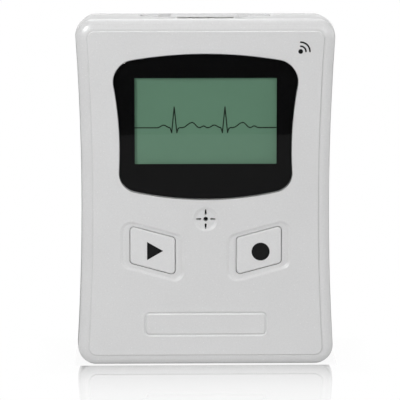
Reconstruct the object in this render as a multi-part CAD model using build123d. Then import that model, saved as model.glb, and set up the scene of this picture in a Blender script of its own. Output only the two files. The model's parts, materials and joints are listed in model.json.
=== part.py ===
from build123d import *

import os
from math import atan2, cos, degrees, hypot, pi

# A pocket heart recorder. All sizes are in millimetres.
# It stands upright: x runs across the case, z up its height, and y from its front (low) to its back (high).

# Outline of the case, seen from the front
case_width = 68.8
waist_draw_in = 1.3
case_height = 92.9
case_depth = 22.0
corner_radius = 5.3
side_draft = 0.35
rear_draft = 0.6
rear_round = 2.5
base_flat = 0.4

# Walls of the two covers
case_wall = 2.2
front_wall = 2.4
rear_wall = 2.0
lip_height = 1.5
lip_thickness = 0.9
lip_gap = 0.1
parting_depth = 8.0
parting_chamfer = 0.15

# Raised front panel, a little below the middle of the case, and the curved border round it
panel_border = 3.25
panel_drop = 0.25
panel_rise = 0.4
border_drop = 1.1
border_steps = 5
edge_round = 0.6
panel_round = 0.25

# Lens over the display: arcs at its top, bottom and sides
lens_top_share = 0.8979
lens_bottom_share = 0.4812
lens_waist_share = 0.6238
lens_waist_width_share = 0.6593
lens_top_bow = 115.0
lens_bottom_bow = 88.0
lens_side_bow = 95.0
lens_top_corner = 5.8
lens_bottom_corner = 5.2
lens_thickness = 1.2
lens_sink = 0.1
lens_edge_round = 0.15
lens_gap = 0.12
mask_thickness = 0.06
mask_margin = 0.1
tape_thickness = 0.15
tape_margin = 0.8

# Display behind the lens
view_width_share = 0.5439
view_height_share = 0.2454
view_centre_share = 0.7059
window_margin = 1.2
glass_thickness = 1.8
glass_margin_side = 2.4
glass_margin_end = 2.5
glass_gap = 0.1
frame_wall = 1.4
frame_fit = 0.1
backlight_gap = 0.15
zebra_width = 2.0
zebra_end_gap = 1.5

# Heart trace on the display: one beat, with heights above the resting line
trace_rest_drop = 1.91
trace_line = 0.3
trace_thickness = 0.04
beat_count = 2
beat_spacing = 13.4
first_beat_x = -8.28
atrial_start = 4.4
atrial_peak = 2.85
atrial_end = 1.15
atrial_height = 0.7
dip_shoulder = 1.0
dip_shoulder_drop = 0.25
dip_offset = 0.68
dip_depth = 1.33
spike_height = 5.5
spike_end = 1.4
recovery_start = 2.1
recovery_peak = 4.72
recovery_end = 6.6
recovery_height = 1.4
after_start = 6.7
after_peak = 7.75
after_end = 8.75
after_height = 0.45
hump_steps = 4

# Play and record buttons, leaning towards each other
button_width = 11.9
button_height = 10.0
button_slope = 0.272
button_corner = 1.0
button_spacing = 28.2
button_centre_share = 0.3342
button_gap = 0.16
button_proud = 0.1
button_edge_round = 0.4
button_travel = 0.3
button_flange = 1.1
flange_thickness = 0.7
flange_gap = 0.05
button_post_radius = 1.5
recess_side_margin = 1.65
recess_end_margin = 0.7
recess_drop = 0.25
recess_depth = 0.45
recess_slope_run = 1.1
recess_steps = 6
recess_corner = 1.9
symbol_thickness = 0.04
play_symbol_width = 4.22
play_symbol_height = 4.88
play_symbol_shift = 0.66
play_symbol_drop = 0.1
record_symbol_radius = 2.4
record_symbol_shift = 0.48
record_symbol_drop = 0.35

# Push switches behind the buttons
switch_width = 5.2
switch_height = 1.5
switch_cover_thickness = 0.15
switch_cover_margin = 0.2
plunger_radius = 1.0
plunger_gap = 0.06
plunger_stand = 0.6
plunger_depth = 0.35
switch_bore_spare = 0.3

# Microphone port and microphone
port_share = 0.4247
port_dish_radius = 3.3
port_dish_depth = 0.42
port_rim_run = 0.8
port_hole_radius = 0.61
port_slot_count = 4
port_slot_inner = 1.45
port_slot_outer = 2.45
port_slot_inner_radius = 0.27
port_slot_outer_radius = 0.17
microphone_radius = 3.0
microphone_length = 2.2
microphone_pin_radius = 0.25
microphone_pin_spacing = 2.54
boot_wall = 1.1
boot_front = 0.6
boot_mouth_radius = 2.9
felt_radius = 2.6
felt_thickness = 0.3

# Signal sign printed at the top right
sign_x_share = 0.3619
sign_height_share = 0.9047
sign_dot_radius = 0.62
sign_inner_radius = 1.37
sign_outer_radius = 2.43
sign_stroke = 0.42
sign_thickness = 0.04

# Plain engraved frame near the bottom of the front
plate_width = 32.0
plate_height = 5.9
plate_centre_share = 0.1195
plate_groove = 0.8
plate_groove_floor = 0.2
plate_depth = 0.26
plate_corner = 1.0

# Circuit board
board_side_gap = 1.4
board_bottom = 5.0
board_top_gap = 4.6
board_thickness = 1.0
board_space = 3.2
board_corner_gap = 0.4
board_bay_gap = 1.7

# Corner bosses, inserts and screws that hold the covers together
boss_inset = 7.1
boss_radius = 3.1
boss_gap = 0.05
insert_radius = 1.6
insert_length = 4.0
screw_radius = 1.0
screw_hole_radius = 1.15
screw_head_radius = 1.9
screw_head_height = 1.3
screw_sink_radius = 2.25
screw_seat_depth = 6.5
screw_reach = 3.4
cross_length = 2.2
cross_width = 0.5
cross_depth = 0.7

# Bosses and screws that hold the board to the front cover
stud_edge_inset = 2.3
stud_low_rise = 9.3
stud_boss_spacing = 8.3
stud_high_drop = 1.3
stud_radius = 2.0
stud_screw_radius = 0.7
stud_screw_length = 2.4
stud_head_radius = 1.35
stud_head_height = 0.8

# Lead socket at the top
socket_width = 15.8
socket_height = 4.4
socket_wall = 0.35
socket_corner = 0.9
socket_mouth_depth = 0.65
socket_length = 10.9
socket_hole_gap = 0.2
socket_ear_width = 1.5
socket_ear_length = 3.0
tongue_width = 12.6
tongue_thickness = 0.9
tongue_mouth_gap = 1.4
tongue_root = 2.6
tongue_fit = 0.05
contact_count = 10
contact_width = 0.45
contact_pitch = 1.2
contact_thickness = 0.1
contact_length = 6.0

# Hollow round the socket in the top of the case, and the hood behind it
hollow_depth = 1.6
hollow_tip_depth = 0.95
hollow_floor_half = 9.0
hollow_neck_half = 10.2
hollow_shoulder_half = 12.4
hollow_tip_half = 17.2
hollow_front_margin = 2.4
hollow_front_neck_margin = 4.5
hollow_front_tip_margin = 6.7
hollow_back_margin = 2.8
hollow_back_shoulder_margin = 6.2
hollow_back_tip_margin = 6.6
hollow_pad = 1.0
hollow_pad_margin = 1.5
hood_rise = 0.26
hood_length = 1.5
hood_lead = 0.8
hood_ramp = 3.0
hood_overlap = 1.2
hood_round = 1.0

# Batteries
cell_length = 43.7
cell_nub_radius = 1.9
cell_nub_height = 0.8
cell_sleeve = 0.15
cell_bare_end = 0.5
cell_gap = 0.3
cell_seat_gap = 0.3
cell_side_gap = 0.35

# Battery bay in the rear cover
bay_floor = 1.0
bay_wall = 1.4
bay_bottom = 10.0

# Battery contacts
contact_plate_inset = 1.75
contact_plate_short = 2.5
contact_plate_thickness = 0.3
spring_leaf_width = 5.0
spring_leaf_thickness = 0.3
spring_reach = 4.6
tail_width = 2.0
tail_gap = 0.2

# Battery door and its hinge
door_thickness = 1.6
door_gap = 0.25
door_seat_gap = 0.1
door_edge_round = 0.2
knuckle_radius = 1.25
knuckle_count = 5
knuckle_gap = 0.3
hinge_swing_gap = 0.65
hinge_depth_gap = 0.1
hinge_floor_gap = 0.3
hinge_block_wall = 1.5
hinge_pin_radius = 0.5
hinge_running_gap = 0.05
pin_end_gap = 1.0
latch_arm_width = 5.2
latch_arm_thickness = 0.8
latch_arm_length = 3.0
latch_bead = 0.2
latch_bead_height = 0.6
latch_notch_gap = 0.6
nail_notch_length = 12.0
nail_notch_depth = 1.1
nail_notch_radius = 2.6
grip_count = 5
grip_pitch = 1.4
grip_width = 0.6
grip_depth = 0.3
grip_length = 10.0
grip_inset = 3.0

# Bare label recess on the back
label_width = 44.0
label_height = 15.0
label_depth = 0.3
label_corner = 1.5

# Parts on the board, with their places as shares of the board's width and the case's height
processor_size = 10.0
processor_height = 1.2
processor_place_shares = (-0.2, 0.762)
memory_width = 12.0
memory_height = 8.0
memory_thickness = 1.1
memory_place_shares = (0.193, 0.778)
amplifier_size = 5.0
amplifier_thickness = 1.0
amplifier_place_shares = ((-0.3, 0.241), (0.0, 0.241), (0.3, 0.241))
crystal_width = 7.0
crystal_height = 3.2
crystal_thickness = 1.2
crystal_place_shares = (0.0, 0.718)
capacitor_radius = 2.5
capacitor_length = 5.4
capacitor_place_shares = ((-0.37, 0.714), (-0.37, 0.784), (0.386, 0.702))
inductor_size = 5.0
inductor_thickness = 2.4
inductor_place_shares = (0.377, 0.853)
antenna_width = 1.8
antenna_height = 5.0
antenna_thickness = 1.1
antenna_edge_inset = 2.2
antenna_height_share = 0.82

# How far cuts run past the faces that they open
overrun = 0.5
edge_search = 0.01

# Levels along y, from the front to the back
front_y = -case_depth / 2
back_y = case_depth / 2
panel_base_y = front_y + panel_rise
border_y = panel_base_y + border_drop
front_inner_y = front_y + front_wall
back_inner_y = back_y - rear_wall
parting_y = front_y + parting_depth
socket_y = parting_y
board_front_y = front_inner_y + board_space
board_rear_y = board_front_y + board_thickness
lens_front_y = front_y + lens_sink
lens_rear_y = lens_front_y + lens_thickness
mask_rear_y = lens_rear_y + mask_thickness
ledge_y = mask_rear_y + tape_thickness
glass_front_y = front_inner_y + glass_gap
glass_rear_y = glass_front_y + glass_thickness
recess_y = front_y + recess_depth
button_front_y = front_y - button_proud + recess_depth / 2
flange_front_y = front_inner_y + flange_gap
flange_rear_y = flange_front_y + flange_thickness
switch_front_y = board_front_y - switch_height
switch_cover_y = switch_front_y - switch_cover_thickness
plunger_front_y = switch_cover_y - plunger_stand
door_inner_y = back_y - door_thickness
seat_y = door_inner_y - door_seat_gap
bay_front_y = board_rear_y + board_bay_gap
bay_floor_y = bay_front_y + bay_floor
cell_y = (bay_floor_y + door_inner_y) / 2
cell_radius = cell_y - bay_floor_y - cell_seat_gap
hinge_y = back_y - knuckle_radius - hinge_depth_gap
hinge_floor_y = hinge_y - knuckle_radius - hinge_floor_gap
screw_seat_y = back_y - screw_seat_depth
hollow_front_y = front_y + hollow_front_margin
hollow_back_y = back_y - hollow_back_margin

# Levels along z
outline_low = -base_flat
outline_mid = (case_height + outline_low) / 2
lens_top = case_height * lens_top_share
lens_bottom = case_height * lens_bottom_share
lens_waist_height = case_height * lens_waist_share
view_centre_height = case_height * view_centre_share
view_height = case_height * view_height_share
trace_rest_height = view_centre_height - trace_rest_drop
button_centre_height = case_height * button_centre_share
port_height = case_height * port_share
sign_height = case_height * sign_height_share
plate_centre_height = case_height * plate_centre_share
board_top = case_height - board_top_gap
socket_mouth = case_height - socket_mouth_depth
socket_base = socket_mouth - socket_length
hollow_floor = case_height - hollow_depth
bay_top = bay_bottom + contact_plate_thickness + cell_length + cell_nub_height + spring_reach
bay_mid = (bay_bottom + bay_top) / 2
boss_low = outline_low + boss_inset
boss_high = case_height - boss_inset
stud_low = boss_low + stud_low_rise
stud_high = boss_high - stud_high_drop
label_centre_height = (bay_top + bay_wall + case_height) / 2

# Distances along x
waist_width = case_width - 2 * waist_draw_in
board_width = waist_width - 2 * (case_wall + lip_gap + lip_thickness + board_side_gap)
lens_waist_width = case_width * lens_waist_width_share
view_width = case_width * view_width_share
sign_x = case_width * sign_x_share
cell_spacing = 2 * cell_radius + cell_gap
bay_half = cell_spacing / 2 + cell_radius + cell_side_gap
door_half = bay_half + bay_wall
hinge_x = -door_half - knuckle_radius - knuckle_gap
channel_left = hinge_x - knuckle_radius - hinge_swing_gap
boss_x = case_width / 2 - boss_inset
stud_low_x = board_width / 2 - stud_edge_inset
stud_high_x = boss_x - stud_boss_spacing

# Battery contacts follow the batteries
contact_plate_width = 2 * (cell_radius - contact_plate_inset)
contact_plate_height = 2 * cell_radius - contact_plate_short


def facing_plane(y):
    """The upright plane at this depth, seen from the front: x to the right and z up."""
    return Plane(origin=(0, y, 0), x_dir=(1, 0, 0), z_dir=(0, -1, 0))


def slab(outline, front, back):
    """An outline drawn in x and z, made solid between two depths."""
    return extrude(facing_plane(back) * outline, amount=back - front, dir=(0, -1, 0))


def block(x_range, y_range, z_range):
    """A box between two places along each axis."""
    low = (x_range[0], y_range[0], z_range[0])
    size = [pair[1] - pair[0] for pair in (x_range, y_range, z_range)]
    return Pos(*low) * Box(*size, align=(Align.MIN, Align.MIN, Align.MIN))


def rod(radius, x, z, front, back):
    """A round bar along y between two depths."""
    return slab(Pos(x, z) * Circle(radius), front, back)


def upright_rod(radius, x, y, low, high):
    """A round bar along z between two heights."""
    return Pos(x, y, low) * Cylinder(radius, high - low, align=(Align.CENTER, Align.CENTER, Align.MIN))


def edges_at_depth(solid, y):
    """The edges that lie in the upright plane at this depth."""
    return solid.edges().filter_by_position(Axis.Y, y - edge_search, y + edge_search)


def waisted_outline(inset=0):
    """The case outline moved inwards: round corners, flat ends and long hollow arcs for its sides.

    The corner arc and the side arc touch on the line between their centres, so every inset is parallel.
    """
    high = case_height - inset
    low = outline_low + inset
    corner_x = case_width / 2 - corner_radius
    corner_z = case_height - corner_radius
    bow = (case_width - waist_width) / 2
    reach = corner_z - outline_mid
    both_radii = (bow**2 + reach**2) / (2 * bow)
    side_x = waist_width / 2 + both_radii - corner_radius
    towards = Vector(side_x - corner_x, outline_mid - corner_z).normalized()
    corner_step = corner_radius - inset
    meeting = Vector(corner_x, corner_z) + towards * corner_step
    middle = Vector(corner_x, corner_z) + (towards + Vector(0, 1)).normalized() * corner_step
    waist = waist_width / 2 - inset

    def upper(point, side):
        return (side * point.X, point.Y)

    def lower(point, side):
        return (side * point.X, high + low - point.Y)

    edges = [
        Line((-corner_x, high), (corner_x, high)),
        ThreePointArc((corner_x, high), upper(middle, 1), upper(meeting, 1)),
        ThreePointArc(upper(meeting, 1), (waist, outline_mid), lower(meeting, 1)),
        ThreePointArc(lower(meeting, 1), lower(middle, 1), (corner_x, low)),
        Line((corner_x, low), (-corner_x, low)),
        ThreePointArc((-corner_x, low), lower(middle, -1), lower(meeting, -1)),
        ThreePointArc(lower(meeting, -1), (-waist, outline_mid), upper(meeting, -1)),
        ThreePointArc(upper(meeting, -1), upper(middle, -1), (-corner_x, high)),
    ]
    return make_face(edges)


def drafted(outer_inset, outer_y, inner_inset, inner_y):
    """The case between two depths, whose outlines lie at two insets."""
    first = facing_plane(outer_y) * waisted_outline(outer_inset)
    second = facing_plane(inner_y) * waisted_outline(inner_inset)
    return loft([first, second], ruled=True)


def base_cut():
    """What lies below the flat base that the case stands on."""
    half = case_width
    return block((-half, half), (front_y - half, back_y + half), (-half, 0))


def lens_outline(inset=0):
    """The lens outline moved inwards: four arcs with round corners."""
    upper = Pos(0, lens_top - lens_top_bow) * Circle(lens_top_bow - inset)
    lower = Pos(0, lens_bottom + lens_bottom_bow) * Circle(lens_bottom_bow - inset)
    outline = upper & lower
    side_x = lens_waist_width / 2 + lens_side_bow
    for side in (-1, 1):
        outline -= Pos(side * side_x, lens_waist_height) * Circle(lens_side_bow + inset)
    corners = outline.vertices().sort_by(Axis.Y)
    outline = fillet(corners[2:], lens_top_corner - inset)
    corners = outline.vertices().sort_by(Axis.Y)
    return fillet(corners[:2], lens_bottom_corner - inset)


def button_outline(side, grow_side=0, grow_end=0, corner=button_corner):
    """A button's outline: upright sides, with a top and bottom that fall towards the middle of the case."""
    half = button_width / 2 + grow_side
    tall = button_height / 2 + grow_end
    drop = half * button_slope
    points = [
        (side * half, tall + drop),
        (side * -half, tall - drop),
        (side * -half, -tall - drop),
        (side * half, -tall + drop),
    ]
    outline = make_face(Polyline(*points, close=True))
    rounded = fillet(outline.vertices(), corner)
    return Pos(side * button_spacing / 2, button_centre_height) * rounded


def corner_places():
    """The four corners where the covers are screwed together."""
    return [(side * boss_x, z) for side in (-1, 1) for z in (boss_low, boss_high)]


def stud_places():
    """The four places where the board is screwed to the front cover."""
    pairs = ((stud_low_x, stud_low), (stud_high_x, stud_high))
    return [(side * x, z) for side in (-1, 1) for x, z in pairs]


def view_outline(margin=0):
    """The part of the display that the mask leaves open, grown by a margin."""
    size = (view_width + 2 * margin, view_height + 2 * margin)
    return Pos(0, view_centre_height) * Rectangle(*size)


def glass_outline(grow=0):
    """The display glass, grown by a margin."""
    width = view_width + 2 * (glass_margin_side + grow)
    height = view_height + 2 * (glass_margin_end + grow)
    return Pos(0, view_centre_height) * Rectangle(width, height)


def port_slot():
    """One slot of the microphone port, a drop that is wider towards the middle."""
    slot = make_face(
        Polyline(
            (port_slot_inner, port_slot_inner_radius),
            (port_slot_outer, port_slot_outer_radius),
            (port_slot_outer, -port_slot_outer_radius),
            (port_slot_inner, -port_slot_inner_radius),
            close=True,
        )
    )
    slot += Pos(port_slot_inner, 0) * Circle(port_slot_inner_radius)
    return slot + Pos(port_slot_outer, 0) * Circle(port_slot_outer_radius)


def port_cut():
    """The microphone port: a dish with a sloping rim, a round hole and slots through the front wall."""
    floor = Pos(0, port_height) * Circle(port_dish_radius - port_rim_run)
    rim = Pos(0, port_height) * Circle(port_dish_radius)
    floor_plane = facing_plane(front_y + port_dish_depth)
    rim_plane = facing_plane(front_y)
    cut = loft([floor_plane * floor, rim_plane * rim], ruled=True)
    openings = Circle(port_hole_radius)
    for index in range(port_slot_count):
        openings += Rot(0, 0, index * 360 / port_slot_count) * port_slot()
    through = Pos(0, port_height) * openings
    return cut + slab(through, front_y - overrun, front_inner_y + overrun)


def recess_outline(side, grow):
    """The floor of a button's recess, grown by a margin. It lies a little lower than the button."""
    outline = button_outline(
        side, recess_side_margin + grow, recess_end_margin + grow, recess_corner + grow
    )
    return Pos(0, -recess_drop) * outline


def button_cut(side):
    """A button's recess, whose walls rise as half of a cosine wave, and the opening behind the button."""
    levels = []
    for step in range(recess_steps + 1):
        across = step / recess_steps
        rise = (1 - cos(pi * across)) / 2
        outline = recess_outline(side, recess_slope_run * across)
        levels.append(facing_plane(recess_y - recess_depth * rise) * outline)
    opening = button_outline(side, button_gap, button_gap, button_corner + button_gap)
    return loft(levels, ruled=True) + slab(opening, front_y - overrun, front_inner_y + overrun)


def plate_outline(grow):
    """The engraved frame's middle line, grown by a margin."""
    size = (plate_width + 2 * grow, plate_height + 2 * grow)
    return Pos(0, plate_centre_height) * RectangleRounded(*size, plate_corner + grow)


def plate_cut():
    """The plain frame engraved near the bottom of the front: a shallow groove with sloping walls."""
    rim = plate_groove / 2
    floor = plate_groove_floor / 2
    floor_plane = facing_plane(front_y + plate_depth)
    rim_plane = facing_plane(front_y)
    outer = loft([floor_plane * plate_outline(floor), rim_plane * plate_outline(rim)], ruled=True)
    inner = loft([floor_plane * plate_outline(-floor), rim_plane * plate_outline(-rim)], ruled=True)
    return outer - inner


def both_sides(points):
    """A closed outline from the points of its right half, given from the back to the front."""
    return make_face(Polyline(*points, *((-x, along) for x, along in reversed(points)), close=True))


def hollow_cut():
    """The boat-shaped hollow round the lead socket, deepest in the middle and blunt at its tips."""
    top = case_height + overrun
    profile = both_sides(
        [
            (hollow_tip_half, top),
            (hollow_tip_half, case_height - hollow_tip_depth),
            (hollow_floor_half, hollow_floor),
        ]
    )
    plan = both_sides(
        [
            (hollow_floor_half, hollow_back_y),
            (hollow_shoulder_half, back_y - hollow_back_shoulder_margin),
            (hollow_tip_half, back_y - hollow_back_tip_margin),
            (hollow_tip_half, front_y + hollow_front_tip_margin),
            (hollow_neck_half, front_y + hollow_front_neck_margin),
            (hollow_floor_half, hollow_front_y),
        ]
    )
    across = slab(profile, front_y, back_y)
    down = extrude(Pos(0, 0, hollow_floor - overrun) * plan, amount=top - hollow_floor + 2 * overrun)
    return across & down


def socket_outline(grow=0):
    """The lead socket's section, seen from above."""
    size = (socket_width + 2 * grow, socket_height + 2 * grow)
    return Pos(0, socket_y) * RectangleRounded(*size, socket_corner + grow)


def socket_cut():
    """The hollow at the top and the opening that the lead socket passes through."""
    inner = case_height - case_wall - hollow_pad - overrun
    passage = extrude(
        Pos(0, 0, inner) * socket_outline(socket_hole_gap), amount=case_height - inner + overrun
    )
    return hollow_cut() + passage


def hollow_backing(front, back, grow=0):
    """The thicker wall under the hollow, between two depths, grown by a gap."""
    half = hollow_tip_half + hollow_pad_margin + grow
    wall_inside = case_height - case_wall
    return block((-half, half), (front, back), (wall_inside - hollow_pad - grow, wall_inside + overrun))


def panel_outline(inset, share=1):
    """The outline moved inwards and, by a share, down to where the raised panel lies."""
    return Pos(0, -panel_drop * share) * waisted_outline(inset)


def front_border():
    """The curved border round the panel. Its slope eases off as the square of the way to the panel."""
    levels = []
    for step in range(border_steps + 1):
        share = step / border_steps
        inset = side_draft + share * (panel_border - side_draft)
        y = panel_base_y + border_drop * (1 - share) ** 2
        levels.append(facing_plane(y) * panel_outline(inset, share))
    return loft(levels, ruled=True)


def front_cover():
    """The front half of the case: drafted sides, curved border, raised panel and all its openings."""
    cover = drafted(0, parting_y, side_draft, border_y)
    cover = chamfer(edges_at_depth(cover, parting_y), parting_chamfer)
    cover += front_border()
    cover = fillet(edges_at_depth(cover, border_y), edge_round)
    panel = slab(panel_outline(panel_border), front_y, panel_base_y + overrun)
    panel = fillet(edges_at_depth(panel, front_y), panel_round)
    cover += panel
    cover -= slab(waisted_outline(case_wall), front_inner_y, parting_y + overrun)
    cover += hollow_backing(front_inner_y - overrun, parting_y)
    for x, z in corner_places():
        cover += rod(boss_radius, x, z, front_inner_y - overrun, parting_y - boss_gap)
        cover -= rod(insert_radius, x, z, parting_y - boss_gap - insert_length, parting_y)
        cover -= rod(screw_hole_radius, x, z, front_inner_y, parting_y)
    for x, z in stud_places():
        cover += rod(stud_radius, x, z, front_inner_y - overrun, board_front_y)
        cover -= rod(stud_screw_radius, x, z, board_front_y - stud_screw_length, board_front_y + overrun)
    cover -= slab(lens_outline(-lens_gap), front_y - overrun, ledge_y)
    cover -= slab(view_outline(window_margin), ledge_y - overrun, front_inner_y + overrun)
    for side in (-1, 1):
        cover -= button_cut(side)
    cover -= port_cut()
    cover -= plate_cut()
    cover -= socket_cut()
    return cover - base_cut()


def hinge_range():
    """Lowest and highest point of the hinge, which is as long as the door."""
    return (bay_bottom - bay_wall, bay_top + bay_wall)


def hinge_segments():
    """The height range of each hinge knuckle, from the lowest up."""
    low, high = hinge_range()
    pitch = (high - low + knuckle_gap) / knuckle_count
    starts = [low + index * pitch for index in range(knuckle_count)]
    return [(start, start + pitch - knuckle_gap) for start in starts]


def bay_inside():
    """The space that the batteries and their contacts fill."""
    return block((-bay_half, bay_half), (bay_floor_y, back_y), (bay_bottom, bay_top))


def door_opening():
    """The opening in the back wall that the door closes."""
    half = door_half + door_gap
    low = bay_bottom - bay_wall - door_gap
    high = bay_top + bay_wall + door_gap
    return block((-half, half), (seat_y, back_y + overrun), (low, high))


def hinge_channel():
    """The pocket beside the door that the hinge knuckles lie in."""
    low, high = hinge_range()
    heights = (low - door_gap, high + door_gap)
    return block((channel_left, -door_half), (hinge_floor_y, back_y + overrun), heights)


def hinge_block():
    """The thick part of the back wall that the hinge pocket is cut in."""
    low, high = hinge_range()
    heights = (low - hinge_block_wall, high + hinge_block_wall)
    across = (channel_left - hinge_block_wall, -bay_half)
    return block(across, (hinge_floor_y - hinge_block_wall, back_inner_y + overrun), heights)


def cover_knuckles():
    """The hinge knuckles that belong to the rear cover."""
    knuckles = None
    for low, high in hinge_segments()[::2]:
        barrel = upright_rod(knuckle_radius, hinge_x, hinge_y, low, high)
        foot = block(
            (channel_left - overrun, hinge_x), (hinge_floor_y - overrun, hinge_y), (low, high)
        )
        piece = barrel + foot
        knuckles = piece if knuckles is None else knuckles + piece
    return knuckles


def latch_notch():
    """The gap in the bay's side wall that the door's latch arm enters."""
    half = latch_arm_width / 2 + latch_notch_gap
    deep = door_inner_y - latch_arm_length - latch_notch_gap
    across = (bay_half - overrun, door_half + door_gap)
    return block(across, (deep, back_y), (bay_mid - half, bay_mid + half))


def nail_notch():
    """The scoop beside the door's free edge, for a fingernail."""
    middle_y = back_y - nail_notch_depth + nail_notch_radius
    half = nail_notch_length / 2
    scoop = upright_rod(nail_notch_radius, door_half + door_gap, middle_y, bay_mid - half, bay_mid + half)
    keep_right = block(
        (door_half, door_half + case_width), (back_inner_y, back_y + case_depth), (bay_bottom, bay_top)
    )
    return scoop & keep_right


def tail_slots():
    """The slots in the bay floor that the contact tails pass through."""
    slots = None
    for cell_side in (-1, 1):
        for end_z, inwards in ((bay_bottom, 1), (bay_top, -1)):
            x = cell_side * cell_spacing / 2
            half = tail_width / 2 + tail_gap
            thick = inwards * (contact_plate_thickness + tail_gap)
            heights = sorted((end_z, end_z + thick))
            slot = block((x - half, x + half), (bay_front_y - overrun, bay_floor_y + overrun), heights)
            slots = slot if slots is None else slots + slot
    return slots


def rear_cover():
    """The rear half of the case, with the battery bay, hinge pocket and screw wells."""
    cover = drafted(0, parting_y, rear_draft, back_y)
    cover = chamfer(edges_at_depth(cover, parting_y), parting_chamfer)
    cover = fillet(edges_at_depth(cover, back_y), rear_round)
    cover += hood()
    cover -= slab(waisted_outline(case_wall), parting_y - overrun, back_inner_y)
    lip = waisted_outline(case_wall + lip_gap) - waisted_outline(case_wall + lip_gap + lip_thickness)
    lip_root = waisted_outline(case_wall - overrun) - waisted_outline(case_wall + lip_gap + lip_thickness)
    cover += slab(lip, parting_y - lip_height, parting_y + overrun)
    cover += slab(lip_root, parting_y, parting_y + overrun)
    cover -= hollow_backing(parting_y - lip_height - overrun, parting_y, lip_gap)
    cover += hollow_backing(parting_y, back_inner_y + overrun)
    for x, z in corner_places():
        cover += rod(boss_radius, x, z, parting_y, back_inner_y + overrun)
        cover -= rod(screw_hole_radius, x, z, parting_y - overrun, back_y)
        cover -= rod(screw_sink_radius, x, z, screw_seat_y, back_y + overrun)
    cover += block(
        (-door_half, door_half),
        (bay_front_y, back_inner_y + overrun),
        (bay_bottom - bay_wall, bay_top + bay_wall),
    )
    cover += hinge_block()
    cover -= bay_inside()
    cover -= door_opening()
    cover -= hinge_channel()
    cover += cover_knuckles()
    low, high = hinge_range()
    cover -= upright_rod(hinge_pin_radius, hinge_x, hinge_y, low + pin_end_gap, high - pin_end_gap)
    cover -= latch_notch()
    cover -= nail_notch()
    cover -= tail_slots()
    label = Pos(0, label_centre_height) * RectangleRounded(label_width, label_height, label_corner)
    cover -= slab(label, back_y - label_depth, back_y + overrun)
    cover -= socket_cut()
    return cover - base_cut()


def hood():
    """The low rise behind the socket hollow, on the rear cover, with a round back edge."""
    foot = case_height - rear_draft
    top = foot + hood_rise
    low = case_height - hood_overlap
    half = hollow_floor_half + hood_ramp
    profile = both_sides([(hollow_floor_half, top), (half, foot), (half, low)])
    start = hollow_back_y - hood_lead
    end = hollow_back_y + hood_length
    side = make_face(
        [
            Line((start, low), (start, top)),
            Line((start, top), (end - hood_round, top)),
            CenterArc((end - hood_round, top - hood_round), hood_round, 0, 90),
            Line((end, top - hood_round), (end, low)),
            Line((end, low), (start, low)),
        ]
    )
    side_plane = Plane(origin=(-half, 0, 0), x_dir=(0, 1, 0), z_dir=(1, 0, 0))
    return slab(profile, start, end) & extrude(side_plane * side, amount=2 * half, dir=(1, 0, 0))


def battery_door():
    """The door over the batteries, with its hinge knuckles, latch arm and grip grooves."""
    low = bay_bottom - bay_wall
    high = bay_top + bay_wall
    door = block((-door_half, door_half), (door_inner_y, back_y), (low, high))
    outer_edges = edges_at_depth(door, back_y)
    door = fillet(outer_edges, door_edge_round)
    for segment_low, segment_high in hinge_segments()[1::2]:
        door += upright_rod(knuckle_radius, hinge_x, hinge_y, segment_low, segment_high)
        web = block(
            (hinge_x, -door_half + knuckle_radius),
            (door_inner_y, hinge_y + knuckle_radius),
            (segment_low, segment_high),
        )
        door += web
        bore = hinge_pin_radius + hinge_running_gap
        door -= upright_rod(bore, hinge_x, hinge_y, segment_low - overrun, segment_high + overrun)
    half = latch_arm_width / 2
    arm_outer = door_half - door_gap
    arm_tip = door_inner_y - latch_arm_length
    door += block(
        (arm_outer - latch_arm_thickness, arm_outer),
        (arm_tip, door_inner_y + overrun),
        (bay_mid - half, bay_mid + half),
    )
    door += block(
        (arm_outer - latch_arm_thickness, arm_outer + latch_bead),
        (arm_tip, arm_tip + latch_bead_height),
        (bay_mid - half, bay_mid + half),
    )
    for index in range(grip_count):
        x = door_half - grip_inset - index * grip_pitch
        groove = SlotOverall(grip_length, grip_width, rotation=90)
        door -= slab(Pos(x, bay_mid) * groove, back_y - grip_depth, back_y + overrun)
    return door


def hinge_pin():
    """The steel pin through all the knuckles."""
    low, high = hinge_range()
    return upright_rod(hinge_pin_radius, hinge_x, hinge_y, low + pin_end_gap, high - pin_end_gap)


def lens_window():
    """The clear lens, flush in its recess, with a softened front edge."""
    lens = slab(lens_outline(), lens_front_y, lens_rear_y)
    return fillet(edges_at_depth(lens, lens_front_y), lens_edge_round)


def lens_mask():
    """The black print on the back of the lens, open over the display."""
    return slab(lens_outline(mask_margin) - view_outline(), lens_rear_y, mask_rear_y)


def lens_tape():
    """The ring of adhesive that holds the lens on its ledge."""
    ring = lens_outline(tape_margin) - view_outline(window_margin + tape_margin)
    return slab(ring, mask_rear_y, ledge_y)


def display_glass():
    """The liquid-crystal glass."""
    return slab(glass_outline(), glass_front_y, glass_rear_y)


def display_frame():
    """The moulded frame that holds the glass and its light over the board."""
    ring = glass_outline(frame_wall) - glass_outline(frame_fit)
    return slab(ring, glass_front_y, board_front_y)


def backlight_range():
    """Lowest and highest point of the light panel, above the connecting strip."""
    low = view_centre_height - view_height / 2 - glass_margin_end
    high = view_centre_height + view_height / 2 + glass_margin_end
    return (low + zebra_width + 2 * backlight_gap, high - backlight_gap)


def display_backlight():
    """The light panel behind the glass, resting on the board."""
    half = view_width / 2 + glass_margin_side - backlight_gap
    return block((-half, half), (glass_rear_y, board_front_y), backlight_range())


def zebra_strip():
    """The rubber strip that joins the glass to the board."""
    half = view_width / 2 + glass_margin_side - zebra_end_gap
    low = view_centre_height - view_height / 2 - glass_margin_end + backlight_gap
    return block((-half, half), (glass_rear_y, board_front_y), (low, low + zebra_width))


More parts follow.
